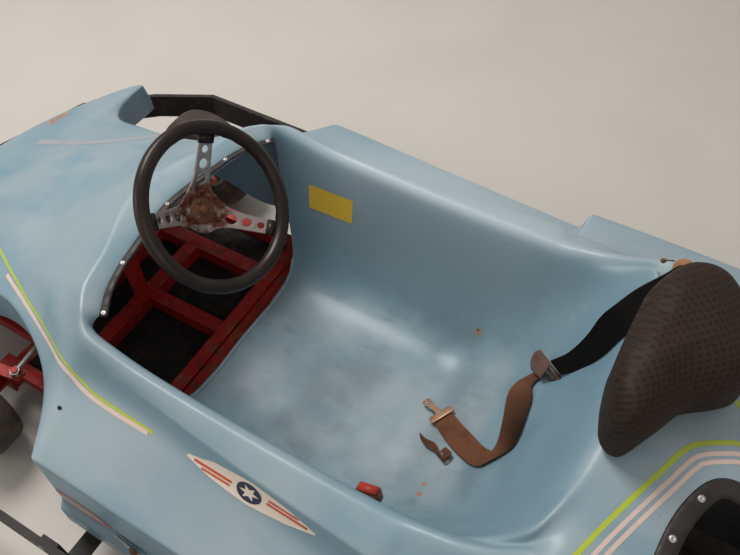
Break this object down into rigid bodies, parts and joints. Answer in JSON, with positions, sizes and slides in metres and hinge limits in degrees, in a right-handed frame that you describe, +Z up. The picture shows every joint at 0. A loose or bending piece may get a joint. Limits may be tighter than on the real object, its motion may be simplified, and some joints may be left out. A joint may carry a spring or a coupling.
{
  "type": "racing kart",
  "caption": "Rental racing kart: an open-cockpit moulded body on a tube frame, with a bumper band all round, front steering and a rear engine driving a live axle.",
  "frame": {"origin": "on the ground under the middle of the bumper band", "axes": "+X forward, +Y to the driver's left, +Z up"},
  "size_m": [2.2, 1.208, 0.768],
  "materials": {
    "body_blue": "sun-faded sky blue moulding",
    "frame_red": "worn red paint with rust",
    "band_rubber": "black rubber over steel",
    "tyre_rubber": "dusty black",
    "rim_paint": "dull silver paint",
    "steel": "bare steel",
    "spoke_steel": "brushed plate with rust at the hub",
    "grip": "ribbed dark grip",
    "pad_vinyl": "woven-look dark vinyl",
    "webbing": "black webbing faded brown",
    "buckle_red": "red button in a black frame",
    "engine_dark": "dark engine metal",
    "blower_black": "black cover",
    "tank_dark": "black enamel with dust",
    "pan_dark": "dark red-brown sheet, dirty",
    "muffler_metal": "heat-stained steel",
    "chain_steel": "oily steel"
  },
  "bodies": {
    "root": {"frame_rails": "frame_red", "cross_members": "frame_red", "floor_pan": "pan_dark", "yokes": "frame_red", "axle_hangers": "frame_red", "brake_caliper": "engine_dark", "column_support": "frame_red", "bumper_front": "band_rubber", "bumper_rear": "band_rubber", "bumper_brackets": "band_rubber", "nose_wing": "body_blue", "nose_cowl": "body_blue", "cockpit_hood": "body_blue", "tub": "body_blue", "seat_back": "body_blue", "side_pods": "body_blue", "rear_deck": "body_blue", "rear_fenders": "body_blue", "headrest_pad": "pad_vinyl", "dash_trim": "band_rubber", "engine_block": "engine_dark", "engine_covers": "blower_black", "fuel_tank": "tank_dark", "muffler": "muffler_metal", "clutch": "chain_steel", "drive_chain": "chain_steel", "pedals": "frame_red", "belt_webbing": "webbing", "buckle": "buckle_red"},
    "steering": {"steering_column": "steel", "steering_rim": "grip", "steering_spider": "spoke_steel"},
    "knuckle_left_body": {"knuckle_left": "frame_red"},
    "knuckle_right_body": {"knuckle_right": "frame_red"},
    "tie_rod_left_body": {"tie_rod_left": "steel"},
    "tie_rod_right_body": {"tie_rod_right": "steel"},
    "front_wheel_left": {"front_tyre_left": "tyre_rubber", "front_rim_left": "rim_paint"},
    "front_wheel_right": {"front_tyre_right": "tyre_rubber", "front_rim_right": "rim_paint"},
    "rear_axle_body": {"rear_tyres": "tyre_rubber", "rear_rims": "rim_paint", "rear_axle": "steel", "sprocket": "chain_steel", "brake_disc": "steel"}
  },
  "joints": [
    {"name": "steering_turn", "type": "hinge", "parent": "root", "child": "steering", "pos_m": [0.19413, 0, 0.56952], "axis": [-0.788, 0, 0.6157], "range_deg": [-50, 50]},
    {"name": "knuckle_left_steer", "type": "hinge", "parent": "root", "child": "knuckle_left_body", "pos_m": [0.618, 0.37, 0.143], "axis": [0, 0, 1], "range_deg": [-25, 25]},
    {"name": "tie_rod_left_pivot", "type": "hinge", "parent": "knuckle_left_body", "child": "tie_rod_left_body", "pos_m": [0.528, 0.35, 0.198], "axis": [0, 0, 1], "range_deg": [-25, 25]},
    {"name": "front_wheel_left_roll", "type": "hinge", "parent": "knuckle_left_body", "child": "front_wheel_left", "pos_m": [0.618, 0.456, 0.143], "axis": [0, 1, 0], "continuous": true},
    {"name": "knuckle_right_steer", "type": "hinge", "parent": "root", "child": "knuckle_right_body", "pos_m": [0.618, -0.37, 0.143], "axis": [0, 0, 1], "range_deg": [-25, 25]},
    {"name": "tie_rod_right_pivot", "type": "hinge", "parent": "knuckle_right_body", "child": "tie_rod_right_body", "pos_m": [0.528, -0.35, 0.198], "axis": [0, 0, 1], "range_deg": [-25, 25]},
    {"name": "front_wheel_right_roll", "type": "hinge", "parent": "knuckle_right_body", "child": "front_wheel_right", "pos_m": [0.618, -0.456, 0.143], "axis": [0, 1, 0], "continuous": true},
    {"name": "rear_axle_roll", "type": "hinge", "parent": "root", "child": "rear_axle_body", "pos_m": [-0.64, 0, 0.142], "axis": [0, 1, 0], "continuous": true}
  ],
  "couplings": [
    {"joint": "knuckle_left_steer", "follows": "steering_turn", "ratio": 0.5},
    {"joint": "tie_rod_left_pivot", "follows": "steering_turn", "ratio": -0.5},
    {"joint": "knuckle_right_steer", "follows": "steering_turn", "ratio": 0.5},
    {"joint": "tie_rod_right_pivot", "follows": "steering_turn", "ratio": -0.5}
  ]
}
